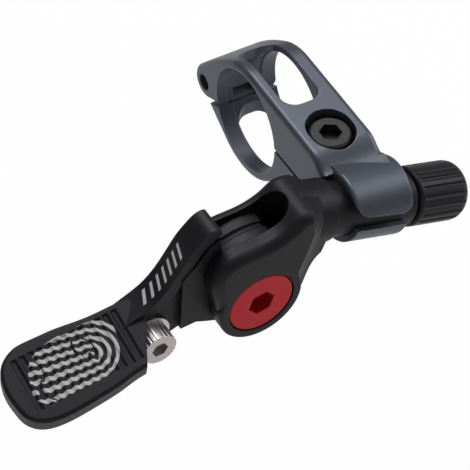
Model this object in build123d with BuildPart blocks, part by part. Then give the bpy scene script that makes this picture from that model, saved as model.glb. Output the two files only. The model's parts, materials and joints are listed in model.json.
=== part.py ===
from build123d import *
from math import acos, asin, cos, degrees, hypot, radians, sin
import os

os.makedirs("parts", exist_ok=True)

# Dropper post remote lever. Millimetres. The origin is the centre of the handlebar bore,
# +X along the bar toward the barrel adjuster, +Z out of the clamp bolt, -Y toward the lever.

# Handlebar clamp
bar_radius = 11.1
strap_wall = 1.4
strap_bulge = 0.5
lower_strap_wall = 1.9
grip_relief = 0.25
clamp_width = 13.8
split_z = 1.6
split_gap = 0.8
plate_top_z = 11.8
plate_bottom_z = -8.2
plate_front_y = -22.6
split_front_y = -27.4
clamp_edge_round = 1.2
lower_edge_round = 0.7

# Clamp hinge
knuckle_radius = 3.8
hinge_angle = -10.8
centre_knuckle_width = 5.6
knuckle_gap = 0.3
lip_gap = 0.6
lip_reach = 2.8
hinge_pin_radius = 1.75
hinge_pin_sink = 1.2

# Clamp windows
window_width = 8.2
upper_window_shift = -0.5
lower_window_shift = 0.5
upper_window_back_y = 9.6
upper_window_front_y = -11.2
lower_window_back_y = 9.4
lower_window_front_y = -9.4
window_corner = 3.2

# Clamp bolt, M5 socket head
bolt_y = -19.4
bolt_radius = 2.5
bolt_head_radius = 4.25
bolt_head_height = 5.0
bolt_head_sink = 0.8
bolt_hex = 4.0
bolt_hex_depth = 2.5
bolt_length = 13.0
recess_clearance = 0.45
recess_slot = 1.2
bolt_hole_clearance = 0.3
bolt_hole_slot = 1.6
thread_clearance = 0.05

# Tail of the body and the saddle that grips it
tail_y = -31.0
tail_z = 1.75
tail_pitch = 17.5
tail_radius = 5.6
saddle_wall = 2.0
saddle_pitch = 9.0
saddle_edge_round = 0.7
saddle_valley = 0.7
saddle_cover_x = -2.0
lower_saddle_wall = 1.3
saddle_near = -5.9
saddle_far = 7.4
lower_saddle_near = -4.6
upper_lip_height = 3.1
lower_lip_height = -0.6
lip_corner_near = 3.6
lip_corner_far = 2.4
tail_end = 10.2
running_clearance = 0.05
seat_clearance = 0.02

# Pivot
pivot_x = -25.8
pivot_z = -5.9
pivot_bolt_radius = 4.0
pivot_cap_radius = 7.0
pivot_cap_thickness = 2.0
pivot_cap_sink = 0.1
pivot_cap_ring = 0.15
pivot_hex = 5.0
pivot_hex_depth = 2.6
pivot_thread_radius = 3.4
pivot_thread_sink = 0.3
boss_radius = 9.0
cheek_radius = 8.8
near_cheek_thickness = 3.9
far_cheek_thickness = 2.2
shim_thickness = 0.3
shim_width = 0.8

# Bearings in the hub
bearing_outer_radius = 6.0
bearing_width = 2.5
bearing_shoulder = 1.4
bearing_ring_wall = 0.6
ball_radius = 0.5
ball_count = 14
groove_play = 0.03
seal_thickness = 0.25
seal_gap = 0.1

# Fork body
neck_radius = 6.2
neck_start = -9.6
neck_length = 8.0
roof_x = -16.5
roof_z = 13.0
fork_top_z = 9.1
fork_left_x = -36.2
slot_end_x = -17.3
slot_floor_drop = 2.6
near_edge_round = 2.2
far_edge_round = 1.9
boss_edge_round = 0.5
cable_bore_radius = 1.2
slot_clearance = 0.6

# Lever
hub_radius = 7.6
cable_gap = 1.2
cable_groove_radius = 0.8
cable_groove_rise = 0.2
arm_width = 5.8
arm_thickness = 2.6
block_left_x = -41.0
web_thickness = 4.0
screw_x = -47.6
screw_z = -7.7
lug_radius = 4.6
lug_rise = 2.0
lug_depth = 5.0
screw_relief = 0.4
drum_start = 74

# Cable screw and washer
screw_radius = 2.0
screw_head_radius = 3.5
screw_head_height = 4.0
screw_hex = 3.0
screw_hex_depth = 2.0
screw_shank = 7.0
knurl_count = 24
knurl_radius = 0.25
washer_radius = 4.3
washer_thickness = 1.0
washer_clearance = 0.15

# Thumb paddle
paddle_x = -62.0
paddle_y = -28.4
paddle_z = -2.1
paddle_tilt = 7.5
paddle_lean = 17.0
paddle_left = 16.6
paddle_right = 12.4
paddle_width = 15.6
paddle_thickness = 4.2
paddle_bevel = 0.6
ridge_count = 13
ridge_pitch = 1.75
ridge_centre = -1.9
ridge_depth = 0.35
ridge_cutter_radius = 0.8
ridge_margin = 1.6
ridge_length = 11.0

# Barrel adjuster
knob_gap = 0.8
knob_radius = 6.0
knob_length = 13.2
knob_round = 2.8
rib_count = 20
rib_groove_radius = 0.5
rib_groove_depth = 0.35
stem_radius = 3.0
stem_engagement = 7.0
stem_in_knob = 4.0
housing_bore_radius = 2.6
o_ring_radius = 0.5
o_ring_seat_depth = 0.5
o_ring_play = 0.12
o_ring_gap = 0.05

# Worked-out places
half_width = clamp_width / 2
strap_radius = bar_radius + strap_wall
lower_strap_radius = bar_radius + lower_strap_wall
hinge_distance = strap_radius + knuckle_radius
hinge_y = hinge_distance * cos(radians(hinge_angle))
hinge_z = hinge_distance * sin(radians(hinge_angle))
split_top = split_z + split_gap / 2
split_bottom = split_z - split_gap / 2
head_top_z = plate_top_z - bolt_head_sink
head_seat_z = head_top_z - bolt_head_height
saddle_radius = tail_radius + saddle_wall
pitch = radians(tail_pitch)
tail_dir = Vector(cos(pitch), 0, -sin(pitch))
tail_up = Vector(sin(pitch), 0, cos(pitch))
tail_origin = Vector(0, tail_y, tail_z)
tail_plane = Plane(origin=tail_origin, x_dir=(0, 1, 0), z_dir=tail_dir)
saddle_dir = Vector(cos(radians(saddle_pitch)), 0, -sin(radians(saddle_pitch)))
saddle_up = Vector(sin(radians(saddle_pitch)), 0, cos(radians(saddle_pitch)))
saddle_origin = tail_origin + tail_dir * saddle_near
saddle_plane = Plane(origin=saddle_origin, x_dir=(0, 1, 0), z_dir=saddle_dir)
saddle_length = saddle_far - saddle_near
saddle_slant = radians(tail_pitch - saddle_pitch)
lip_plane = Plane(origin=tail_origin, x_dir=tail_dir, z_dir=(0, -1, 0))
hub_half = bearing_width + bearing_shoulder / 2
slot_half = hub_half + shim_thickness
near_face_y = tail_y - slot_half - near_cheek_thickness
far_face_y = tail_y + slot_half + far_cheek_thickness
cap_face_y = near_face_y + pivot_cap_sink
pivot_below_tail = (tail_origin - Vector(pivot_x, tail_y, pivot_z)).dot(tail_up)
drum_radius = pivot_below_tail - cable_gap
drum_origin = Vector(pivot_x, tail_y, pivot_z)
drum_out = Vector(cos(radians(drum_start)), 0, sin(radians(drum_start)))
lug_face_y = tail_y - lug_rise
screw_seat_y = lug_face_y - washer_thickness
bearing_inner_radius = pivot_bolt_radius + seat_clearance
race_radius = (bearing_inner_radius + bearing_outer_radius) / 2
inner_land = bearing_inner_radius + bearing_ring_wall
outer_land = bearing_outer_radius - bearing_ring_wall
knob_start = tail_end + knob_gap
stem_end = knob_start + stem_in_knob
tilt = radians(paddle_tilt)
lean = radians(paddle_lean)
paddle_long = Vector(cos(tilt), 0, sin(tilt))
paddle_level = Vector(-sin(tilt), 0, cos(tilt))
paddle_normal = paddle_level * cos(lean) + Vector(0, -1, 0) * sin(lean)
paddle_origin = Vector(paddle_x, paddle_y, paddle_z)
paddle_across = paddle_long.cross(paddle_normal)
paddle_plane = Plane(origin=paddle_origin, x_dir=paddle_long, z_dir=paddle_normal)


def at_y(y):
    return Plane.XZ.offset(-y)


def polar(radius, angle, centre=(0, 0)):
    return (centre[0] + radius * cos(radians(angle)), centre[1] + radius * sin(radians(angle)))


def along_tail(distance, up=0.0):
    spot = tail_origin + tail_dir * distance + tail_up * up
    return (spot.X, spot.Z)


def offset_points(points, distance):
    moved = []
    for index, point in enumerate(points):
        before = points[max(index - 1, 0)]
        after = points[min(index + 1, len(points) - 1)]
        run = hypot(after[0] - before[0], after[1] - before[1])
        moved.append(
            (
                point[0] - (after[1] - before[1]) / run * distance,
                point[1] + (after[0] - before[0]) / run * distance,
            )
        )
    return moved


tail_dir_flat = Vector(cos(pitch), -sin(pitch))
hinge = (hinge_y, hinge_z)
outer_tangent = hinge_angle + degrees(acos((strap_radius - knuckle_radius) / hinge_distance))
lower_tangent = hinge_angle - degrees(asin(knuckle_radius / hinge_distance))
lip_angle = lower_tangent - degrees(lip_gap / strap_radius)
lip_radius = strap_radius + lip_reach
lip_corner = polar(lip_radius, lip_angle)
lip_tangent = lip_angle - degrees(acos(lower_strap_radius / lip_radius))
far_away = 4 * strap_radius
bulge_point = (
    (strap_radius * cos(radians(outer_tangent)) + polar(knuckle_radius, outer_tangent, hinge)[0]) / 2
    + strap_bulge * cos(radians(outer_tangent)),
    (strap_radius * sin(radians(outer_tangent)) + polar(knuckle_radius, outer_tangent, hinge)[1]) / 2
    + strap_bulge * sin(radians(outer_tangent)),
)

plate_front = (plate_front_y, plate_top_z)
dip = (plate_front_y - 5.4, plate_top_z - 2.2)
saddle_root = (plate_front_y - tail_y + 0.6, saddle_radius + 0.3)
saddle_crown = polar(saddle_radius, 80)
root_reach = half_width - saddle_origin.X - saddle_root[1] * saddle_up.X


def lip_round(end, radius, side):
    height = upper_lip_height + radius
    return (end[0] + (side * radius - (height - end[1]) * sin(saddle_slant)) / cos(saddle_slant), height)


def lip_corner_cut(centre, radius, side):
    Polyline(
        centre,
        (centre[0], upper_lip_height - 1),
        (centre[0] - side * (radius + 2), upper_lip_height - 1),
        (
            centre[0] - side * (radius + 1) * cos(saddle_slant),
            centre[1] - side * (radius + 1) * sin(saddle_slant),
        ),
        centre,
    )


near_round = lip_round((saddle_near, 0), lip_corner_near, 1)
far_round = lip_round(
    (saddle_near + saddle_length * cos(saddle_slant), saddle_length * sin(saddle_slant)),
    lip_corner_far,
    -1,
)

# Upper clamp half
with BuildPart() as clamp_upper:
    with BuildSketch(Plane.YZ.offset(-half_width)):
        Circle(strap_radius)
        with BuildLine():
            Polyline(
                polar(strap_radius, outer_tangent + 6),
                (0, 0),
                polar(hinge_distance * cos(radians(hinge_angle - lower_tangent)), lower_tangent),
                polar(knuckle_radius, outer_tangent - 20, hinge),
            )
            ThreePointArc(
                polar(knuckle_radius, outer_tangent - 20, hinge),
                bulge_point,
                polar(strap_radius, outer_tangent + 6),
            )
        make_face()
        with Locations(hinge):
            Circle(knuckle_radius)
        with BuildLine():
            Polyline(dip, (dip[0], 0), (0, 0), (0, strap_radius), plate_front)
            Spline(
                plate_front,
                (plate_front_y - 2.6, plate_top_z - 0.9),
                dip,
                tangents=[(-1, -0.03), (-1, -0.1)],
            )
        make_face()
        with BuildLine():
            Polyline(
                (0, 0),
                polar(far_away, lower_tangent),
                (0, -far_away),
                (-far_away, -far_away),
                (-far_away, split_top),
                (0, split_top),
                (0, 0),
            )
        make_face(mode=Mode.SUBTRACT)
        with Locations(hinge):
            Circle(knuckle_radius)
    extrude(amount=clamp_width)
    for end in (0, -1):
        rim = clamp_upper.faces().sort_by(Axis.X)[end].edges()
        outer = [e for e in rim if e.center().Z > split_top + 0.3 or e.center().Y > strap_radius / 2]
        fillet([e for e in outer if e.center().Y > tail_y + 1], clamp_edge_round)
    with BuildSketch(Plane(origin=saddle_origin, x_dir=saddle_dir, z_dir=saddle_up)):
        saddle_profile = Rectangle(saddle_length, saddle_radius, align=(Align.MIN, Align.MIN))
        fillet(saddle_profile.vertices().group_by(Axis.Y)[-1], saddle_edge_round)
    revolve(axis=Axis(saddle_origin, saddle_dir), revolution_arc=270)
    with BuildSketch(saddle_plane.offset(saddle_edge_round / 2)):
        with BuildLine():
            Spline(
                saddle_root,
                ((saddle_root[0] + saddle_crown[0]) / 2, saddle_radius - saddle_valley),
                saddle_crown,
                tangents=[(-1, -0.25), (-saddle_crown[1], saddle_crown[0])],
            )
            Polyline(saddle_crown, (0, 0), (saddle_root[0], 0), saddle_root)
        make_face()
    extrude(amount=root_reach / saddle_dir.X - saddle_edge_round / 2)
    with BuildSketch(Plane.YZ.offset(saddle_cover_x)):
        with BuildLine():
            Spline(
                dip,
                (dip[0] - 2.0, dip[1] - 0.25),
                (dip[0] - 4.0, dip[1] - 1.1),
                tangents=[(-1, -0.1), (-1, -0.7)],
            )
            Polyline(
                (dip[0] - 4.0, dip[1] - 1.1),
                (dip[0] - 4.0, dip[1] - 3.5),
                (dip[0] + 1.0, dip[1] - 3.5),
                (dip[0] + 1.0, dip[1] - 0.6),
                dip,
            )
        make_face()
    extrude(amount=half_width - saddle_cover_x)
    with BuildSketch(lip_plane):
        with Locations((0, upper_lip_height)):
            Rectangle(far_away, far_away, align=(Align.CENTER, Align.MAX))
        with BuildLine():
            lip_corner_cut(near_round, lip_corner_near, 1)
        make_face()
        with BuildLine():
            lip_corner_cut(far_round, lip_corner_far, -1)
        make_face()
        with Locations(near_round):
            Circle(lip_corner_near, mode=Mode.SUBTRACT)
        with Locations(far_round):
            Circle(lip_corner_far, mode=Mode.SUBTRACT)
    extrude(amount=far_away, mode=Mode.SUBTRACT)
    with BuildSketch(tail_plane.offset(saddle_near - far_away / 2)):
        Circle(tail_radius + running_clearance)
        Rectangle(
            tail_radius + running_clearance,
            saddle_radius,
            align=(Align.MIN, Align.MAX),
        )
    extrude(amount=far_away, mode=Mode.SUBTRACT)
    with BuildSketch(Plane.YZ.offset(-far_away / 2)):
        Circle(bar_radius)
        with Locations((tail_y, split_top)):
            Rectangle(-tail_y, far_away, align=(Align.MIN, Align.MAX))
    extrude(amount=far_away, mode=Mode.SUBTRACT)
    with BuildSketch(Plane.YZ.offset(upper_window_shift - window_width / 2)):
        Circle(bar_radius + grip_relief)
    extrude(amount=window_width, mode=Mode.SUBTRACT)
    with BuildSketch(Plane.YZ.offset(-centre_knuckle_width / 2 - knuckle_gap)):
        with Locations(hinge):
            Circle(knuckle_radius + lip_gap)
        with BuildLine():
            Polyline(
                polar(bar_radius / 2, lip_angle - 8),
                polar(bar_radius / 2, hinge_angle),
                hinge,
                polar(lip_radius + lip_gap, lip_angle - 8),
                polar(bar_radius / 2, lip_angle - 8),
            )
        make_face()
    extrude(amount=centre_knuckle_width + 2 * knuckle_gap, mode=Mode.SUBTRACT)
    with BuildSketch(Plane.YZ.offset(-half_width)):
        with Locations(hinge):
            Circle(hinge_pin_radius + running_clearance)
    extrude(amount=clamp_width, mode=Mode.SUBTRACT)
    with BuildSketch(Plane.XY.offset(-bar_radius / 2)):
        with Locations((upper_window_shift, (upper_window_back_y + upper_window_front_y) / 2)):
            RectangleRounded(window_width, upper_window_back_y - upper_window_front_y, window_corner)
    extrude(amount=far_away, mode=Mode.SUBTRACT)
    with BuildSketch(Plane.XY.offset(head_seat_z)):
        with Locations((0, bolt_y)):
            SlotCenterToCenter(recess_slot, 2 * (bolt_head_radius + recess_clearance), rotation=90)
    extrude(amount=far_away, mode=Mode.SUBTRACT)
    with BuildSketch(Plane.XY):
        with Locations((0, bolt_y)):
            SlotCenterToCenter(bolt_hole_slot, 2 * (bolt_radius + bolt_hole_clearance), rotation=90)
    extrude(amount=far_away, mode=Mode.SUBTRACT)
clamp_upper.part.label = "clamp_upper"
export_step(clamp_upper.part, "parts/clamp_upper.step")

# Lower clamp half
with BuildPart() as clamp_lower:
    with BuildSketch(Plane.YZ.offset(-half_width)):
        Circle(lower_strap_radius)
        with BuildLine():
            Polyline((0, 0), lip_corner, polar(lower_strap_radius, lip_tangent), (0, 0))
        make_face()
        with BuildLine():
            Polyline(
                (0, 0),
                (0, plate_bottom_z),
                (split_front_y, plate_bottom_z),
                (split_front_y, split_bottom),
                (0, split_bottom),
                (0, 0),
            )
        make_face()
        with BuildLine():
            Polyline(
                (0, 0),
                polar(far_away, lip_angle),
                (far_away, far_away),
                (-far_away, far_away),
                (-far_away, split_bottom),
                (0, split_bottom),
                (0, 0),
            )
        make_face(mode=Mode.SUBTRACT)
    extrude(amount=clamp_width)
    for end in (0, -1):
        rim = clamp_lower.faces().sort_by(Axis.X)[end].edges()
        fillet([e for e in rim if e.center().Z < min(split_bottom - 1, lip_corner[1])], lower_edge_round)
    with BuildSketch(tail_plane.offset(lower_saddle_near)):
        Circle(tail_radius + lower_saddle_wall)
        with Locations((0, lower_lip_height)):
            Rectangle(
                2.4 * saddle_radius,
                2 * saddle_radius,
                align=(Align.CENTER, Align.MIN),
                mode=Mode.SUBTRACT,
            )
    extrude(amount=saddle_far - lower_saddle_near)
    with BuildSketch(tail_plane.offset(saddle_near - far_away / 2)):
        Circle(tail_radius + running_clearance)
    extrude(amount=far_away, mode=Mode.SUBTRACT)
    with BuildSketch(Plane.YZ.offset(-far_away / 2)):
        Circle(bar_radius)
        with Locations((tail_y, split_bottom)):
            Rectangle(-tail_y, far_away, align=(Align.MIN, Align.MIN))
    extrude(amount=far_away, mode=Mode.SUBTRACT)
    with BuildSketch(Plane.YZ.offset(lower_window_shift - window_width / 2)):
        Circle(bar_radius + grip_relief)
    extrude(amount=window_width, mode=Mode.SUBTRACT)
    with BuildSketch(Plane.YZ.offset(-centre_knuckle_width / 2)):
        with BuildLine():
            Polyline(
                polar(bar_radius + strap_wall / 2, lip_angle - 8),
                polar(strap_radius, lip_angle + 3),
                hinge,
                polar(knuckle_radius, -45, hinge),
                lip_corner,
                polar(bar_radius + strap_wall / 2, lip_angle - 8),
            )
        make_face()
        with Locations(hinge):
            Circle(knuckle_radius)
    extrude(amount=centre_knuckle_width)
    with BuildSketch(Plane.YZ.offset(-half_width)):
        with Locations(hinge):
            Circle(hinge_pin_radius + seat_clearance)
    extrude(amount=clamp_width, mode=Mode.SUBTRACT)
    with BuildSketch(Plane.XY.offset(bar_radius / 4)):
        with Locations((lower_window_shift, (lower_window_back_y + lower_window_front_y) / 2)):
            RectangleRounded(window_width, lower_window_back_y - lower_window_front_y, window_corner)
    extrude(amount=-far_away, mode=Mode.SUBTRACT)
    with BuildSketch(Plane.XY.offset(split_top)):
        with Locations((0, bolt_y)):
            Circle(bolt_radius + thread_clearance)
    extrude(amount=-far_away, mode=Mode.SUBTRACT)
clamp_lower.part.label = "clamp_lower"
export_step(clamp_lower.part, "parts/clamp_lower.step")

# Hinge pin, sunk below both end faces
with BuildPart() as hinge_pin:
    with BuildSketch(Plane.YZ.offset(-half_width + hinge_pin_sink)):
        with Locations(hinge):
            Circle(hinge_pin_radius)
    extrude(amount=clamp_width - 2 * hinge_pin_sink)
    chamfer(hinge_pin.edges().filter_by(GeomType.CIRCLE), 0.2)
hinge_pin.part.label = "hinge_pin"
export_step(hinge_pin.part, "parts/hinge_pin.step")

# Clamp bolt
with BuildPart() as clamp_bolt:
    with BuildSketch(Plane.XY.offset(head_seat_z)):
        with Locations((0, bolt_y)):
            Circle(bolt_head_radius)
    extrude(amount=bolt_head_height)
    chamfer(clamp_bolt.faces().sort_by(Axis.Z)[-1].edges(), 0.45)
    with BuildSketch(Plane.XY.offset(head_seat_z)):
        with Locations((0, bolt_y)):
            Circle(bolt_radius)
    extrude(amount=-bolt_length)
    chamfer(clamp_bolt.faces().sort_by(Axis.Z)[0].edges(), 0.4)
    with BuildSketch(Plane.XY.offset(head_top_z)):
        with Locations((0, bolt_y)):
            RegularPolygon(bolt_hex / 2, 6, major_radius=False, rotation=30)
    extrude(amount=-bolt_hex_depth, mode=Mode.SUBTRACT)
clamp_bolt.part.label = "clamp_bolt"
export_step(clamp_bolt.part, "parts/clamp_bolt.step")

# Fork body with its round tail
fork_outline = [
    along_tail(neck_start - 0.5, neck_radius - 0.5),
    along_tail(neck_start - 4.6, neck_radius - 0.4),
    (roof_x - 0.6, roof_z - 0.3),
    (roof_x - 3.2, roof_z - 1.9),
    (roof_x - 6.0, fork_top_z + 0.6),
    (roof_x - 9.6, fork_top_z),
    (fork_left_x + 5.0, fork_top_z - 0.3),
    (fork_left_x + 1.9, fork_top_z - 1.6),
    (fork_left_x + 0.2, fork_top_z - 4.0),
    (fork_left_x + 0.1, fork_top_z - 8.4),
    polar(cheek_radius, 186, (pivot_x, pivot_z)),
]
fork_right = [
    polar(cheek_radius, 330, (pivot_x, pivot_z)),
    (pivot_x + boss_radius + 1.0, pivot_z - 1.6),
    (pivot_x + boss_radius + 2.4, pivot_z + 2.6),
    along_tail(neck_start - 1.0, 0.4 - neck_radius),
]
fork_flare = [
    (neck_start + 1.0, neck_radius - 0.7),
    (neck_start - 2.0, neck_radius - 0.5),
    (neck_start - 6.0, neck_radius + 0.9),
    (neck_start - 9.5, neck_radius + 3.6),
    (neck_start - 13.0, neck_radius + 12.0),
]
flare_back = [
    fork_flare[-1],
    (-far_away, fork_flare[-1][1]),
    (-far_away, 0),
    (fork_flare[0][0], 0),
    fork_flare[0],
]
with BuildPart() as fork_envelope:
    with BuildSketch(lip_plane):
        with BuildLine():
            Spline(fork_flare)
            Polyline(flare_back)
        make_face()
    revolve(axis=Axis(tail_origin, tail_dir))
    with BuildSketch(Plane(origin=tail_origin, x_dir=tail_dir, z_dir=tail_up)):
        with BuildLine():
            Spline(fork_flare)
            Polyline(flare_back)
        make_face()
        mirror(about=Plane.XZ)
    extrude(amount=-far_away)

with BuildPart() as body:
    with BuildSketch(at_y(far_face_y)):
        with BuildLine():
            Spline(fork_outline, tangents=[-tail_dir_flat, (0.1, -1)])
            CenterArc((pivot_x, pivot_z), cheek_radius, 186, 144)
            Spline(fork_right)
            Line(fork_right[-1], fork_outline[0])
        make_face()
    extrude(amount=far_face_y - near_face_y)
    for end, size in ((0, near_edge_round), (-1, far_edge_round)):
        rim = body.faces().sort_by(Axis.Y)[end].edges()
        fillet(rim.filter_by(GeomType.LINE, reverse=True), size)
    add(fork_envelope.part, mode=Mode.INTERSECT)
    with BuildSketch(Plane(origin=(pivot_x, 0, pivot_z), x_dir=(1, 0, 0), z_dir=(0, 0, 1))):
        with Locations((0, far_face_y)):
            boss_profile = Rectangle(boss_radius, far_face_y - near_face_y, align=(Align.MIN, Align.MAX))
        fillet(boss_profile.vertices().group_by(Axis.X)[-1], boss_edge_round)
    revolve(axis=Axis((pivot_x, 0, pivot_z), (0, 1, 0)))
    with BuildSketch(tail_plane.offset(neck_start - neck_length)):
        Circle(neck_radius)
    extrude(amount=neck_length)
    with BuildSketch(tail_plane.offset(neck_start - neck_length / 2)):
        Circle(tail_radius)
    extrude(amount=tail_end - neck_start + neck_length / 2)
    with BuildSketch(Plane.XY.offset(pivot_z)):
        with Locations((slot_end_x - slot_half, tail_y)):
            Circle(slot_half)
            Rectangle(far_away, 2 * slot_half, align=(Align.MAX, Align.CENTER))
    extrude(amount=far_away, mode=Mode.SUBTRACT)
    with BuildSketch(at_y(tail_y + slot_half)):
        with Locations((pivot_x, pivot_z)):
            Circle(hub_radius + slot_clearance)
        with Locations((pivot_x, pivot_z)):
            Rectangle(far_away, hub_radius, align=(Align.MAX, Align.MAX))
        with Locations((pivot_x, pivot_z - slot_floor_drop)):
            Rectangle(far_away, far_away, align=(Align.CENTER, Align.MAX))
    extrude(amount=2 * slot_half, mode=Mode.SUBTRACT)
    with BuildSketch(tail_plane.offset(tail_end)):
        Circle(cable_bore_radius)
    extrude(amount=-far_away, mode=Mode.SUBTRACT)
    with BuildSketch(tail_plane.offset(tail_end)):
        Circle(stem_radius + running_clearance)
    extrude(amount=-stem_engagement - 1.0, mode=Mode.SUBTRACT)
    with BuildSketch(tail_plane.offset(tail_end)):
        Circle(stem_radius + 2 * o_ring_radius + 2 * o_ring_play)
    extrude(amount=-o_ring_seat_depth, mode=Mode.SUBTRACT)
    with BuildSketch(at_y(near_face_y)):
        with Locations((pivot_x, pivot_z)):
            Circle(pivot_cap_radius + pivot_cap_ring)
    extrude(amount=-(pivot_cap_sink + pivot_cap_thickness), mode=Mode.SUBTRACT)
    with BuildSketch(at_y(near_face_y)):
        with Locations((pivot_x, pivot_z)):
            Circle(pivot_bolt_radius + seat_clearance)
    extrude(amount=-(near_cheek_thickness + slot_half), mode=Mode.SUBTRACT)
    with BuildSketch(at_y(far_face_y)):
        with Locations((pivot_x, pivot_z)):
            Circle(pivot_thread_radius + seat_clearance)
    extrude(amount=far_cheek_thickness + slot_half, mode=Mode.SUBTRACT)
body.part.label = "body"
export_step(body.part, "parts/body.step")

# Red pivot bolt
with BuildPart() as pivot_bolt:
    with BuildSketch(at_y(cap_face_y)):
        with Locations((pivot_x, pivot_z)):
            Circle(pivot_cap_radius)
    extrude(amount=-pivot_cap_thickness)
    chamfer(pivot_bolt.faces().sort_by(Axis.Y)[0].edges(), 0.25)
    with BuildSketch(at_y(cap_face_y + pivot_cap_thickness)):
        with Locations((pivot_x, pivot_z)):
            Circle(pivot_bolt_radius)
    extrude(amount=-(tail_y + slot_half - cap_face_y - pivot_cap_thickness))
    with BuildSketch(at_y(tail_y + slot_half)):
        with Locations((pivot_x, pivot_z)):
            Circle(pivot_thread_radius)
    extrude(amount=-(far_cheek_thickness - pivot_thread_sink))
    with BuildSketch(at_y(cap_face_y)):
        with Locations((pivot_x, pivot_z)):
            RegularPolygon(pivot_hex / 2, 6, major_radius=False, rotation=12)
    extrude(amount=-pivot_hex_depth, mode=Mode.SUBTRACT)
pivot_bolt.part.label = "pivot_bolt"
export_step(pivot_bolt.part, "parts/pivot_bolt.step")

# Bearings, one each side of the hub's shoulder
for name, side in (("front", -1), ("rear", 1)):
    seat_y = tail_y + side * bearing_shoulder / 2
    middle_y = seat_y + side * bearing_width / 2
    outer_y = seat_y + side * bearing_width
    race_plane = Plane(origin=(pivot_x, middle_y, pivot_z), x_dir=(1, 0, 0), z_dir=(0, 0, 1))
    race_axis = Axis((pivot_x, middle_y, pivot_z), (0, 1, 0))

    with BuildPart() as outer_ring:
        with BuildSketch(race_plane):
            with Locations(((outer_land + bearing_outer_radius) / 2, 0)):
                Rectangle(bearing_ring_wall, bearing_width)
            with Locations((race_radius, 0)):
                Circle(ball_radius + groove_play, mode=Mode.SUBTRACT)
        revolve(axis=race_axis)
    outer_ring.part.label = name + "_bearing_outer_ring"
    export_step(outer_ring.part, "parts/" + name + "_bearing_outer_ring.step")

    with BuildPart() as inner_ring:
        with BuildSketch(race_plane):
            with Locations(((bearing_inner_radius + inner_land) / 2, 0)):
                Rectangle(bearing_ring_wall, bearing_width)
            with Locations((race_radius, 0)):
                Circle(ball_radius + groove_play, mode=Mode.SUBTRACT)
        revolve(axis=race_axis)
    inner_ring.part.label = name + "_bearing_inner_ring"
    export_step(inner_ring.part, "parts/" + name + "_bearing_inner_ring.step")

    with BuildPart() as balls:
        with Locations(Location((pivot_x, middle_y, pivot_z), (90, 0, 0))):
            with PolarLocations(race_radius, ball_count):
                Sphere(ball_radius)
    balls.part.label = name + "_bearing_balls"
    export_step(balls.part, "parts/" + name + "_bearing_balls.step")

    with BuildPart() as seal:
        with BuildSketch(at_y(outer_y)):
            with Locations((pivot_x, pivot_z)):
                Circle(outer_land - seat_clearance)
                Circle(inner_land + seal_gap, mode=Mode.SUBTRACT)
        extrude(amount=side * seal_thickness)
    seal.part.label = name + "_bearing_seal"
    export_step(seal.part, "parts/" + name + "_bearing_seal.step")

    with BuildPart() as shim:
        with BuildSketch(at_y(outer_y)):
            with Locations((pivot_x, pivot_z)):
                Circle(bearing_inner_radius + shim_width)
                Circle(bearing_inner_radius, mode=Mode.SUBTRACT)
        extrude(amount=-side * shim_thickness)
    shim.part.label = name + "_shim"
    export_step(shim.part, "parts/" + name + "_shim.step")

# Lever
arm_top = [
    (-32.8, 12.6),
    (-33.8, 14.4),
    (-35.4, 14.1),
    (-37.3, 12.6),
    (-38.9, 10.9),
    (-40.5, 8.5),
    (-43.2, 4.2),
    (-46.5, 0.7),
    (-50.2, -1.3),
    (-54.0, -3.3),
]
arm_under = offset_points(arm_top, arm_thickness)
paddle_outline = [
    (paddle_right - 0.4, -0.5),
    (paddle_right - 9.5, -0.2),
    (-3.2, 0.56),
    (-7.4, 0.75),
    (5.6 - paddle_left, 0.68),
    (3.4 - paddle_left, -0.2),
    (1.5 - paddle_left, -1.9),
    (0.5 - paddle_left, -4.3),
    (0.15 - paddle_left, -6.8),
    (0.35 - paddle_left, -9.4),
    (1.0 - paddle_left, -12.2),
    (3.2 - paddle_left, -14.6),
    (6.6 - paddle_left, -paddle_width),
    (-3.2, -paddle_width),
    (3.6, 0.6 - paddle_width),
    (8.9, 1.3 - paddle_width),
]
paddle_end = [
    (8.9, 1.3 - paddle_width),
    (paddle_right - 1.3, -10.0),
    (paddle_right + 0.5, -7.0),
    (paddle_right + 0.9, -5.1),
    (paddle_right + 0.7, -3.6),
    (paddle_right - 0.4, -0.5),
]
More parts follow.
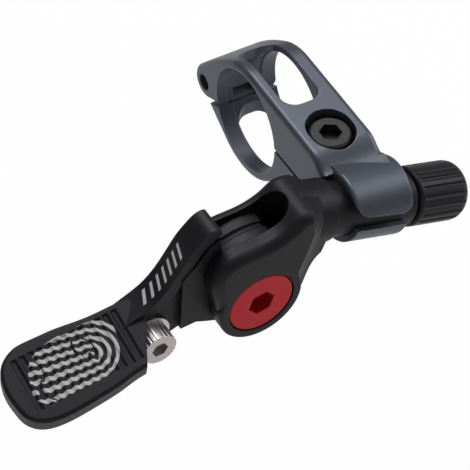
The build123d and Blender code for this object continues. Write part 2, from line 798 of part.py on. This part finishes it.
with BuildPart() as lever:
    with BuildSketch(paddle_plane.offset(-paddle_thickness)):
        with BuildLine():
            Spline(paddle_outline, tangents=[(-1, 0.05), (1, 0.05)])
            Polyline(paddle_end)
        make_face()
    extrude(amount=paddle_thickness)
    rim = lever.faces().sort_by(Axis(paddle_origin, paddle_normal))[-1].edges()
    chamfer(rim.filter_by(GeomType.LINE, reverse=True), paddle_bevel)
    ridge_axis_height = paddle_normal * (ridge_cutter_radius - ridge_depth)
    ridge_origin = paddle_origin + paddle_across * ridge_margin + ridge_axis_height
    with BuildSketch(Plane(origin=ridge_origin, x_dir=paddle_long, z_dir=paddle_across)):
        with Locations((ridge_centre, 0)):
            with GridLocations(ridge_pitch, 1, ridge_count, 1):
                Circle(ridge_cutter_radius)
    extrude(amount=ridge_length, mode=Mode.SUBTRACT)
    with BuildSketch(at_y(tail_y + hub_half)):
        with Locations((pivot_x, pivot_z)):
            Circle(hub_radius)
        with BuildLine():
            Line((pivot_x, pivot_z), polar(drum_radius, drum_start, (pivot_x, pivot_z)))
            CenterArc((pivot_x, pivot_z), drum_radius, drum_start, 120 - drum_start)
            Line(polar(drum_radius, 120, (pivot_x, pivot_z)), (pivot_x, pivot_z))
        make_face()
        with BuildLine():
            Polyline(
                (pivot_x, pivot_z),
                polar(drum_radius, 119, (pivot_x, pivot_z)),
                (arm_under[2][0] + 1.0, arm_under[2][1] - 0.2),
                (arm_under[3][0] + 0.2, arm_under[3][1] - 0.2),
                (arm_under[5][0] + 0.2, arm_under[5][1] - 0.2),
                (block_left_x, arm_under[6][1] + 1.4),
                (block_left_x, pivot_z - 3.4),
                (block_left_x + 3.4, pivot_z - 3.2),
                (block_left_x + 6.0, pivot_z - 4.4),
                (pivot_x - 3.0, pivot_z - hub_radius + 0.7),
                (pivot_x, pivot_z),
            )
        make_face()
    extrude(amount=2 * hub_half)
    with BuildSketch(at_y(tail_y + web_thickness / 2)):
        with BuildLine():
            Polyline(
                (block_left_x + 2.0, arm_under[5][1]),
                (arm_under[6][0] + 0.6, arm_under[6][1] + 0.6),
                (arm_under[7][0], arm_under[7][1] + 0.8),
                (screw_x - lug_radius, arm_under[8][1] + 0.6),
                (screw_x - lug_radius, screw_z),
                (screw_x, screw_z - lug_radius + 0.2),
                (screw_x + 3.0, screw_z - lug_radius + 1.2),
                (block_left_x + 2.0, pivot_z - 3.2),
                (block_left_x + 2.0, arm_under[5][1]),
            )
        make_face()
    extrude(amount=web_thickness)
    with BuildSketch(at_y(tail_y + arm_width / 2)):
        with BuildLine():
            Spline(arm_top)
            Spline(arm_under)
            Line(arm_top[0], arm_under[0])
            Line(arm_top[-1], arm_under[-1])
        make_face()
    extrude(amount=arm_width)
    with BuildSketch(at_y(lug_face_y + lug_depth)):
        with Locations((screw_x, screw_z)):
            Circle(lug_radius)
    extrude(amount=lug_depth)
    with BuildSketch(Plane(origin=drum_origin, x_dir=drum_out, z_dir=drum_out.cross(Vector(0, 1, 0)))):
        with Locations((drum_radius + cable_groove_rise, 0)):
            Circle(cable_groove_radius)
    revolve(axis=Axis(drum_origin, (0, -1, 0)), revolution_arc=118 - drum_start, mode=Mode.SUBTRACT)
    with BuildSketch(at_y(lug_face_y)):
        with Locations((screw_x, screw_z)):
            Circle(washer_radius + screw_relief)
    extrude(amount=washer_thickness + screw_relief, mode=Mode.SUBTRACT)
    with BuildSketch(at_y(lug_face_y)):
        with Locations((screw_x, screw_z)):
            Circle(screw_head_radius + screw_relief)
    extrude(amount=far_away, mode=Mode.SUBTRACT)
    with BuildSketch(at_y(tail_y + hub_half)):
        with Locations((pivot_x, pivot_z)):
            Circle(bearing_outer_radius + seat_clearance)
    extrude(amount=bearing_width, mode=Mode.SUBTRACT)
    with BuildSketch(at_y(tail_y - hub_half)):
        with Locations((pivot_x, pivot_z)):
            Circle(bearing_outer_radius + seat_clearance)
    extrude(amount=-bearing_width, mode=Mode.SUBTRACT)
    with BuildSketch(at_y(tail_y + hub_half)):
        with Locations((pivot_x, pivot_z)):
            Circle(outer_land)
    extrude(amount=2 * hub_half, mode=Mode.SUBTRACT)
    with BuildSketch(at_y(lug_face_y)):
        with Locations((screw_x, screw_z)):
            Circle(screw_radius + seat_clearance)
    extrude(amount=-far_away, mode=Mode.SUBTRACT)
lever.part.label = "lever"
export_step(lever.part, "parts/lever.step")

# Cable screw
with BuildPart() as cable_screw:
    with BuildSketch(at_y(screw_seat_y)):
        with Locations((screw_x, screw_z)):
            Circle(screw_head_radius)
            with PolarLocations(screw_head_radius + 0.1, knurl_count):
                Circle(knurl_radius, mode=Mode.SUBTRACT)
    extrude(amount=screw_head_height)
    with BuildSketch(at_y(screw_seat_y)):
        with Locations((screw_x, screw_z)):
            Circle(screw_radius)
    extrude(amount=-screw_shank)
    with BuildSketch(at_y(screw_seat_y - screw_head_height)):
        with Locations((screw_x, screw_z)):
            RegularPolygon(screw_hex / 2, 6, major_radius=False)
    extrude(amount=-screw_hex_depth, mode=Mode.SUBTRACT)
cable_screw.part.label = "cable_screw"
export_step(cable_screw.part, "parts/cable_screw.step")

# Washer under the cable screw
with BuildPart() as cable_washer:
    with BuildSketch(at_y(lug_face_y)):
        with Locations((screw_x, screw_z)):
            Circle(washer_radius)
            Circle(screw_radius + washer_clearance, mode=Mode.SUBTRACT)
    extrude(amount=washer_thickness)
cable_washer.part.label = "cable_washer"
export_step(cable_washer.part, "parts/cable_washer.step")

# Barrel adjuster knob
with BuildPart() as adjuster_knob:
    with BuildSketch(tail_plane.offset(knob_start)):
        Circle(knob_radius)
    extrude(amount=knob_length)
    fillet(adjuster_knob.edges().filter_by(GeomType.CIRCLE).sort_by(Axis.X)[-1], knob_round)
    chamfer(adjuster_knob.edges().filter_by(GeomType.CIRCLE).sort_by(Axis.X)[0], 0.4)
    with BuildSketch(tail_plane.offset(knob_start + 1.0)):
        with PolarLocations(knob_radius + rib_groove_radius - rib_groove_depth, rib_count):
            Circle(rib_groove_radius)
    extrude(amount=knob_length, mode=Mode.SUBTRACT)
    with BuildSketch(tail_plane.offset(knob_start)):
        Circle(stem_radius + seat_clearance)
    extrude(amount=stem_in_knob, mode=Mode.SUBTRACT)
    with BuildSketch(tail_plane.offset(knob_start)):
        Circle(housing_bore_radius)
    extrude(amount=knob_length, mode=Mode.SUBTRACT)
adjuster_knob.part.label = "adjuster_knob"
export_step(adjuster_knob.part, "parts/adjuster_knob.step")

# Hollow threaded stem of the barrel adjuster
with BuildPart() as adjuster_stem:
    with BuildSketch(tail_plane.offset(tail_end - stem_engagement)):
        Circle(stem_radius)
        Circle(cable_bore_radius, mode=Mode.SUBTRACT)
    extrude(amount=stem_end - tail_end + stem_engagement)
adjuster_stem.part.label = "adjuster_stem"
export_step(adjuster_stem.part, "parts/adjuster_stem.step")

# Friction ring between the knob and the tail
o_ring_origin = tail_origin + tail_dir * (knob_start - o_ring_gap - o_ring_radius)
with BuildPart() as adjuster_o_ring:
    with BuildSketch(Plane(origin=o_ring_origin, x_dir=(0, 1, 0), z_dir=tail_up)):
        with Locations((stem_radius + o_ring_radius + o_ring_play, 0)):
            Circle(o_ring_radius)
    revolve(axis=Axis(tail_origin, tail_dir))
adjuster_o_ring.part.label = "adjuster_o_ring"
export_step(adjuster_o_ring.part, "parts/adjuster_o_ring.step")
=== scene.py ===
import bpy
import json
import math
from mathutils import Euler, Matrix, Vector

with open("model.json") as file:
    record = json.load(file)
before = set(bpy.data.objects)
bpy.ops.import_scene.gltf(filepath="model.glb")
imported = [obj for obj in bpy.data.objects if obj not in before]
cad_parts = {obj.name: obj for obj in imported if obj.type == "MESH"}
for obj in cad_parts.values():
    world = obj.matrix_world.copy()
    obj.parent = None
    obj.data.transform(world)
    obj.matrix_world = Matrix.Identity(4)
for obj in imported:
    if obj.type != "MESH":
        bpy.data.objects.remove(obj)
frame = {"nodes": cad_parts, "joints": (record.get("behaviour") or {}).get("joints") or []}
nodes = frame["nodes"]
joints = {joint["name"]: joint for joint in frame["joints"]}
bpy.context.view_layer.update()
scene = bpy.context.scene

MILLIMETRES_PER_METRE = 1000.0

# Camera, in metres and degrees
CAMERA_PLACE = (-0.203365, -0.29294, 0.351457)
CAMERA_TURN = (42.40319, -2.84011, -30.68712)
CAMERA_SENSOR = 36.0
CAMERA_LENS = 191.49

# Places in metres, from the axis that the lever turns on
PIVOT = Vector(joints["lever_pivot"]["pos_m"])
# A point near the inner edge of the paddle's upper face, and the face's directions
PADDLE = PIVOT + Vector((-0.0362, 0.0026, 0.0038))
PADDLE_TILT = math.radians(7.5)
PADDLE_LEAN = math.radians(17.0)
PADDLE_LONG = Vector((math.cos(PADDLE_TILT), 0.0, math.sin(PADDLE_TILT)))
PADDLE_LEVEL = Vector((-math.sin(PADDLE_TILT), 0.0, math.cos(PADDLE_TILT)))
PADDLE_OUTWARD = Vector((0.0, -1.0, 0.0))
PADDLE_NORMAL = PADDLE_LEVEL * math.cos(PADDLE_LEAN) + PADDLE_OUTWARD * math.sin(PADDLE_LEAN)
PADDLE_ACROSS = PADDLE_LONG.cross(PADDLE_NORMAL)
# Middle of the row of ticks on the arm, the row's direction and the way across it
ARM = PIVOT + Vector((-0.0174, 0.0, 0.0101))
ARM_LONG = Vector((-0.61, 0.0, -0.79)).normalized()
ARM_ACROSS = Vector((0.0, 1.0, 0.0))
# Floor, below the lever's reach at its limit
FLOOR_DROP = 0.0691
FLOOR_REACH = 3.0
FLOOR_Z = PIVOT.z - FLOOR_DROP

# Point that the lamps are aimed at, in metres
LAMP_AIM = Vector((-0.025, -0.02, 0.0))
# How much plain white the camera sees on the floor and past it, and the world's light on the object
FLOOR_SHARE = 0.96
WORLD_SHARE = 1.0
WORLD_STRENGTH = 0.2

# Print on the paddle, in millimetres from PADDLE: loops round a core, cut to an oval
LOOP_PITCH = 1.6
CORE_LONG = 1.2
CORE_ACROSS = 7.2
LOOP_SPREAD = 0.016
LOOP_BEND = 0.012
RIPPLE_PITCH = 1.75
RIPPLE_SIZE = 0.09
DRIFT_SIZE = 1.1
DRIFT_SCALE = 110.0
OVAL_LONG = -2.5
OVAL_ACROSS = 7.0
OVAL_LEAN = 0.3
OVAL_HALF_LENGTH = 9.3
OVAL_HALF_WIDTH = 5.8
OVAL_LENGTH_POWER = 3.0
OVAL_WIDTH_POWER = 3.2
CUT_SCALE = 130.0
CUT_LEVEL = 0.45
PRINT_BOTTOM = -0.9
PRINT_TOP = -0.7

# Ticks on the arm, in millimetres
TICK_COUNT = 7
TICK_PITCH = 1.9
TICK_SLANT = 0.45
TICK_HALF_LENGTH = 1.45
TICK_SOFTNESS = 0.05

# Patterns of the materials: scales per metre, depths and radii in metres
CLOUD_SCALE = 420.0
GRAIN_SCALE = 9000.0
GRAIN_DEPTH = 0.000012
WEAR_SCALE = 900.0
MARK_DEPTH = 0.00001
EDGE_RADIUS = 0.0003
GRAIN_RADIUS = 0.00025
MARK_RADIUS = 0.00012
RUBBER_RADIUS = 0.0001
EDGE_SAMPLES = 6

# Colours, and what they wear to on edges
GREY = (0.082, 0.09, 0.109)
GREY_WORN = (0.4, 0.42, 0.46)
BLACK = (0.0065, 0.0062, 0.0078)
BLACK_WORN = (0.04, 0.04, 0.046)
RED = (0.44, 0.014, 0.02)
RED_WORN = (0.7, 0.1, 0.1)
BOLT_BLACK = (0.03, 0.028, 0.028)
BOLT_WORN = (0.13, 0.12, 0.11)
SCREW_STEEL = (0.64, 0.58, 0.57)
WASHER_STEEL = (0.7, 0.69, 0.67)
PIN_STEEL = (0.16, 0.16, 0.17)
BEARING_STEEL = (0.6, 0.6, 0.6)
RUBBER_BLACK = (0.02, 0.02, 0.021)
SILVER = (0.5, 0.485, 0.48)
WHITE = (1.0, 1.0, 1.0)
FLOOR_WHITE = (0.86, 0.86, 0.86)
LAMP_WHITE = (0.98, 0.985, 1.0)
WORLD_WHITE = (0.96, 0.965, 1.0)


class Graph:
    """Short calls for making a material's nodes."""

    def __init__(self, name):
        self.material = bpy.data.materials.new(name)
        self.material.use_nodes = True
        self.tree = self.material.node_tree
        self.shader = self.tree.nodes["Principled BSDF"]
        self.place = self.tree.nodes.new("ShaderNodeTexCoord").outputs["Object"]

    def put(self, socket, value):
        """Link a socket to another one or set its value. A colour gets its fourth number here."""
        if isinstance(value, bpy.types.NodeSocket):
            self.tree.links.new(value, socket)
        elif socket.type == "RGBA":
            socket.default_value = (*value, 1.0)
        else:
            socket.default_value = value

    def math(self, operation, a, b=0.0, c=0.0):
        node = self.tree.nodes.new("ShaderNodeMath")
        node.operation = operation
        for socket, value in zip(node.inputs, (a, b, c)):
            self.put(socket, value)
        return node.outputs[0]

    def dot(self, a, b):
        """Dot product of a vector socket and a vector or socket."""
        node = self.tree.nodes.new("ShaderNodeVectorMath")
        node.operation = "DOT_PRODUCT"
        self.put(node.inputs[0], a)
        self.put(node.inputs[1], b)
        return node.outputs["Value"]

    def smooth(self, value, low, high):
        """0 at the low value and 1 at the high one, with a soft step between."""
        node = self.tree.nodes.new("ShaderNodeMapRange")
        node.interpolation_type = "SMOOTHSTEP"
        self.put(node.inputs["Value"], value)
        node.inputs["From Min"].default_value = low
        node.inputs["From Max"].default_value = high
        return node.outputs["Result"]

    def along(self, direction, origin):
        """How far a point lies along a direction from an origin, in millimetres."""
        reach = self.dot(self.place, direction * MILLIMETRES_PER_METRE)
        return self.math("SUBTRACT", reach, direction.dot(origin) * MILLIMETRES_PER_METRE)

    def wave(self, value, pitch, operation):
        """Sine or cosine of a length, with one turn per pitch."""
        return self.math(operation, self.math("MULTIPLY", value, 2 * math.pi / pitch))

    def noise(self, scale, detail, roughness=0.5):
        node = self.tree.nodes.new("ShaderNodeTexNoise")
        self.put(node.inputs["Vector"], self.place)
        node.inputs["Scale"].default_value = scale
        node.inputs["Detail"].default_value = detail
        node.inputs["Roughness"].default_value = roughness
        return node.outputs["Fac"]

    def mix(self, factor, a, b):
        node = self.tree.nodes.new("ShaderNodeMix")
        node.data_type = "RGBA"
        self.put(node.inputs["Factor"], factor)
        self.put(node.inputs["A"], a)
        self.put(node.inputs["B"], b)
        return node.outputs["Result"]

    def blend(self, factor, low, high):
        return self.math("MULTIPLY_ADD", factor, high - low, low)

    def rounded_normal(self, radius):
        """Normal of the surface with its edges rounded off."""
        bevel = self.tree.nodes.new("ShaderNodeBevel")
        bevel.samples = EDGE_SAMPLES
        bevel.inputs["Radius"].default_value = radius
        return bevel.outputs["Normal"]

    def edge(self, radius):
        """1 on sharp outer edges, 0 on flat faces."""
        normal = self.tree.nodes.new("ShaderNodeNewGeometry").outputs["Normal"]
        turned = self.math("SUBTRACT", 1.0, self.dot(normal, self.rounded_normal(radius)))
        return self.smooth(turned, low=0.02, high=0.2)

    def bump(self, height, depth, strength, radius):
        """Raise the pattern by its depth, with the edges rounded off by the radius."""
        node = self.tree.nodes.new("ShaderNodeBump")
        node.inputs["Strength"].default_value = strength
        node.inputs["Distance"].default_value = depth
        self.put(node.inputs["Height"], height)
        self.put(node.inputs["Normal"], self.rounded_normal(radius))
        self.put(self.shader.inputs["Normal"], node.outputs["Normal"])

    def finish(self, color, roughness, metallic=0.0, **others):
        self.put(self.shader.inputs["Base Color"], color)
        self.put(self.shader.inputs["Roughness"], roughness)
        self.shader.inputs["Metallic"].default_value = metallic
        for name, value in others.items():
            self.shader.inputs[name.replace("_", " ")].default_value = value
        return self.material


def lighter(color, times):
    return tuple(part * times for part in color)


def blasted(g, color, worn):
    """Grain and colour of a bead-blasted face with lighter edges. Returns the colour and both patterns."""
    cloud = g.noise(CLOUD_SCALE, detail=4.0, roughness=0.6)
    fine = g.noise(GRAIN_SCALE, detail=2.0, roughness=0.6)
    patches = g.smooth(g.noise(WEAR_SCALE, detail=3.0), low=0.3, high=0.75)
    wear = g.math("MULTIPLY", g.edge(EDGE_RADIUS), patches)
    tone = g.mix(g.math("MULTIPLY", cloud, 0.6), color, lighter(color, times=1.25))
    tone = g.mix(g.math("MULTIPLY", wear, 0.55), tone, worn)
    g.bump(fine, GRAIN_DEPTH, strength=0.6, radius=GRAIN_RADIUS)
    return tone, cloud, fine


def anodised(name, color, worn, rough, metallic=0.0, **others):
    """Bead-blasted, anodised aluminium: fine matt grain, edges that show lighter, faint handling marks."""
    g = Graph(name)
    tone, cloud, fine = blasted(g, color, worn)
    spread = g.math("ADD", g.blend(cloud, rough - 0.05, rough + 0.06), g.math("MULTIPLY", fine, 0.05))
    return g.finish(tone, spread, metallic, **others)


def bare_steel(name, color, rough, scale):
    """Turned or pressed bright steel with fine marks."""
    g = Graph(name)
    marks = g.noise(scale, detail=3.0, roughness=0.6)
    tone = g.mix(g.noise(scale=500.0, detail=3.0), lighter(color, times=0.82), color)
    g.bump(marks, MARK_DEPTH, strength=0.8, radius=MARK_RADIUS)
    return g.finish(tone, g.blend(marks, rough - 0.07, rough + 0.1), metallic=1.0)


def rubber(name, color):
    """Matt rubber with a fine grain."""
    g = Graph(name)
    fine = g.noise(scale=5000.0, detail=2.0)
    g.bump(fine, MARK_DEPTH, strength=0.7, radius=RUBBER_RADIUS)
    return g.finish(g.mix(fine, color, lighter(color, times=1.4)), g.blend(fine, low=0.62, high=0.78))


def loops(g, long, across):
    """Wavy lines on the paddle, round a core and open toward the tip."""
    ripple = g.wave(long, RIPPLE_PITCH, "SINE")
    drift = g.math("MULTIPLY", g.math("SUBTRACT", g.noise(DRIFT_SCALE, detail=0.0), 0.5), DRIFT_SIZE)
    shift = g.math("MULTIPLY_ADD", ripple, RIPPLE_SIZE, drift)
    before_core = g.math("MAXIMUM", g.math("SUBTRACT", CORE_LONG, long), 0.0)
    past_core = g.math("MAXIMUM", g.math("SUBTRACT", long, CORE_LONG), 0.0)
    bend = g.math("MULTIPLY", g.math("MULTIPLY", before_core, before_core), LOOP_BEND)
    off_core = g.math("SUBTRACT", g.math("ADD", across, bend), CORE_ACROSS)
    off_core = g.math("ADD", off_core, shift)
    off_core = g.math("DIVIDE", off_core, g.math("MULTIPLY_ADD", before_core, LOOP_SPREAD, 1.0))
    squares = g.math("MULTIPLY_ADD", past_core, past_core, g.math("MULTIPLY", off_core, off_core))
    return g.smooth(g.wave(g.math("SQRT", squares), LOOP_PITCH, "COSINE"), low=-0.02, high=0.22)


def oval(g, long, across):
    """1 inside the leaning oval that the print fills."""
    aside = g.math("SUBTRACT", across, OVAL_ACROSS)
    ahead = g.math("SUBTRACT", g.math("MULTIPLY_ADD", aside, OVAL_LEAN, long), OVAL_LONG)
    length_part = g.math("DIVIDE", g.math("ABSOLUTE", ahead), OVAL_HALF_LENGTH)
    width_part = g.math("DIVIDE", g.math("ABSOLUTE", aside), OVAL_HALF_WIDTH)
    total = g.math(
        "ADD",
        g.math("POWER", length_part, OVAL_LENGTH_POWER),
        g.math("POWER", width_part, OVAL_WIDTH_POWER),
    )
    return g.smooth(total, low=1.0, high=0.95)


def paddle_print(g):
    """Loops inside the oval, cut by thin gaps, on the paddle's upper face only."""
    long = g.along(PADDLE_LONG, PADDLE)
    across = g.along(PADDLE_ACROSS, PADDLE)
    height = g.along(PADDLE_NORMAL, PADDLE)
    from_gap = g.math("ABSOLUTE", g.math("SUBTRACT", g.noise(CUT_SCALE, detail=0.0), CUT_LEVEL))
    uncut = g.smooth(from_gap, low=0.01, high=0.015)
    kept = g.math("MULTIPLY", uncut, g.smooth(height, PRINT_BOTTOM, PRINT_TOP))
    return g.math("MULTIPLY", g.math("MULTIPLY", loops(g, long, across), oval(g, long, across)), kept)


def arm_ticks(g):
    """A row of slanted ticks on the upper face of the arm."""
    aside = g.along(ARM_ACROSS, ARM)
    slanted = g.math("MULTIPLY_ADD", aside, TICK_SLANT, g.along(ARM_LONG, ARM))
    ticks = g.smooth(g.wave(slanted, TICK_PITCH, "COSINE"), low=0.35, high=0.5)
    for distance, half in ((aside, TICK_HALF_LENGTH), (slanted, TICK_COUNT * TICK_PITCH / 2)):
        within = g.smooth(g.math("ABSOLUTE", distance), half + TICK_SOFTNESS, half - TICK_SOFTNESS)
        ticks = g.math("MULTIPLY", ticks, within)
    upward = g.dot(g.place.node.outputs["Normal"], ARM_ACROSS.cross(ARM_LONG))
    return g.math("MULTIPLY", ticks, g.smooth(upward, low=0.55, high=0.7))


def printed_black(name, color, worn):
    """The blasted black with silver printed on the paddle and the arm."""
    g = Graph(name)
    tone, cloud, _ = blasted(g, color, worn)
    silver = g.math("MAXIMUM", paddle_print(g), arm_ticks(g))
    spread = g.math("ADD", g.blend(cloud, low=0.4, high=0.52), g.math("MULTIPLY", silver, 0.1))
    return g.finish(g.mix(silver, tone, SILVER), spread, Specular_IOR_Level=0.26)


def dress(name, material):
    node = nodes[name]
    node.data.materials.clear()
    node.data.materials.append(material)


def show_to_camera(tree, plain, seen, share, output):
    """Mix a share of one shader over the plain one, on camera rays only."""
    rays = tree.nodes.new("ShaderNodeLightPath")
    part = tree.nodes.new("ShaderNodeMath")
    part.operation = "MULTIPLY"
    part.inputs[1].default_value = share
    tree.links.new(rays.outputs["Is Camera Ray"], part.inputs[0])
    mixed = tree.nodes.new("ShaderNodeMixShader")
    tree.links.new(part.outputs[0], mixed.inputs["Fac"])
    tree.links.new(plain, mixed.inputs[1])
    tree.links.new(seen, mixed.inputs[2])
    tree.links.new(mixed.outputs["Shader"], output.inputs["Surface"])


def softbox(name, place, width, height, power):
    data = bpy.data.lights.new(name, "AREA")
    data.shape = "RECTANGLE"
    data.size = width
    data.size_y = height
    data.energy = power
    data.color = LAMP_WHITE
    lamp = bpy.data.objects.new(name, data)
    scene.collection.objects.link(lamp)
    lamp.location = place
    lamp.rotation_mode = "QUATERNION"
    lamp.rotation_quaternion = (LAMP_AIM - Vector(place)).to_track_quat("-Z", "Y")


# Camera, at the photograph's angle
camera_data = bpy.data.cameras.new("camera")
camera_data.sensor_width = CAMERA_SENSOR
camera_data.lens = CAMERA_LENS
camera_data.clip_start = 0.05
camera_data.clip_end = 20.0
camera = bpy.data.objects.new("camera", camera_data)
scene.collection.objects.link(camera)
turn = Euler([math.radians(angle) for angle in CAMERA_TURN], "XYZ")
camera.matrix_world = Matrix.LocRotScale(CAMERA_PLACE, turn, None)
scene.camera = camera

# Materials of the pieces
clamp = anodised("clamp_anodised", GREY, GREY_WORN, rough=0.4, metallic=0.7)
black = anodised("body_black", BLACK, BLACK_WORN, rough=0.46, Specular_IOR_Level=0.26)
knob = anodised("knob_black", BLACK, BLACK_WORN, rough=0.4, Specular_IOR_Level=0.25)
red = anodised("pivot_red", RED, RED_WORN, rough=0.34, metallic=0.5, Specular_IOR_Level=0.2)
bolt = anodised("bolt_black", BOLT_BLACK, BOLT_WORN, rough=0.42, metallic=0.5)
screw = bare_steel("screw_steel", SCREW_STEEL, rough=0.36, scale=1500.0)
washer = bare_steel("washer_steel", WASHER_STEEL, rough=0.26, scale=900.0)
pin = bare_steel("pin_steel", PIN_STEEL, rough=0.36, scale=1500.0)
bearing = bare_steel("bearing_steel", BEARING_STEEL, rough=0.22, scale=1500.0)
seal = rubber("seal_rubber", RUBBER_BLACK)
lever_black = printed_black("lever_black", BLACK, BLACK_WORN)

dress("clamp_upper", clamp)
dress("clamp_lower", clamp)
dress("hinge_pin", pin)
dress("clamp_bolt", bolt)
dress("body", black)
dress("pivot_bolt", red)
dress("lever", lever_black)
dress("cable_screw", screw)
dress("cable_washer", washer)
dress("adjuster_knob", knob)
dress("adjuster_stem", knob)
dress("adjuster_o_ring", seal)
for end in ("front", "rear"):
    for name in ("outer_ring", "inner_ring", "balls"):
        dress(end + "_bearing_" + name, bearing)
    dress(end + "_bearing_seal", seal)
    dress(end + "_shim", bearing)

# Pale floor
floor_material = bpy.data.materials.new("floor")
floor_material.use_nodes = True
tree = floor_material.node_tree
surface = tree.nodes["Principled BSDF"]
surface.inputs["Base Color"].default_value = (*FLOOR_WHITE, 1.0)
surface.inputs["Roughness"].default_value = 0.9
surface.inputs["Specular IOR Level"].default_value = 0.1
shine = tree.nodes.new("ShaderNodeEmission")
shine.inputs["Color"].default_value = (*WHITE, 1.0)
output = tree.nodes["Material Output"]
show_to_camera(tree, surface.outputs["BSDF"], shine.outputs["Emission"], FLOOR_SHARE, output)

mesh = bpy.data.meshes.new("floor")
corners = [(x * FLOOR_REACH, y * FLOOR_REACH, FLOOR_Z) for x, y in ((-1, -1), (1, -1), (1, 1), (-1, 1))]
mesh.from_pydata(corners, [], [(0, 1, 2, 3)])
floor = bpy.data.objects.new("floor", mesh)
scene.collection.objects.link(floor)
mesh.materials.append(floor_material)

# Lamps, and a dim world that is white to the camera
softbox("key", place=(0.05, 0.3, 0.75), width=0.5, height=0.45, power=4.9)
softbox("side", place=(0.7, -0.15, 0.45), width=0.45, height=0.6, power=3.0)
softbox("front", place=(-0.55, -0.7, 0.3), width=0.3, height=0.5, power=0.5)

world = bpy.data.worlds.new("world")
scene.world = world
world.use_nodes = True
tree = world.node_tree
dim = tree.nodes["Background"]
dim.inputs["Color"].default_value = (*WORLD_WHITE, 1.0)
dim.inputs["Strength"].default_value = WORLD_STRENGTH
bright = tree.nodes.new("ShaderNodeBackground")
bright.inputs["Color"].default_value = (*WHITE, 1.0)
bright.inputs["Strength"].default_value = 1.0
output = tree.nodes["World Output"]
show_to_camera(tree, dim.outputs["Background"], bright.outputs["Background"], WORLD_SHARE, output)

scene.view_settings.view_transform = "Standard"
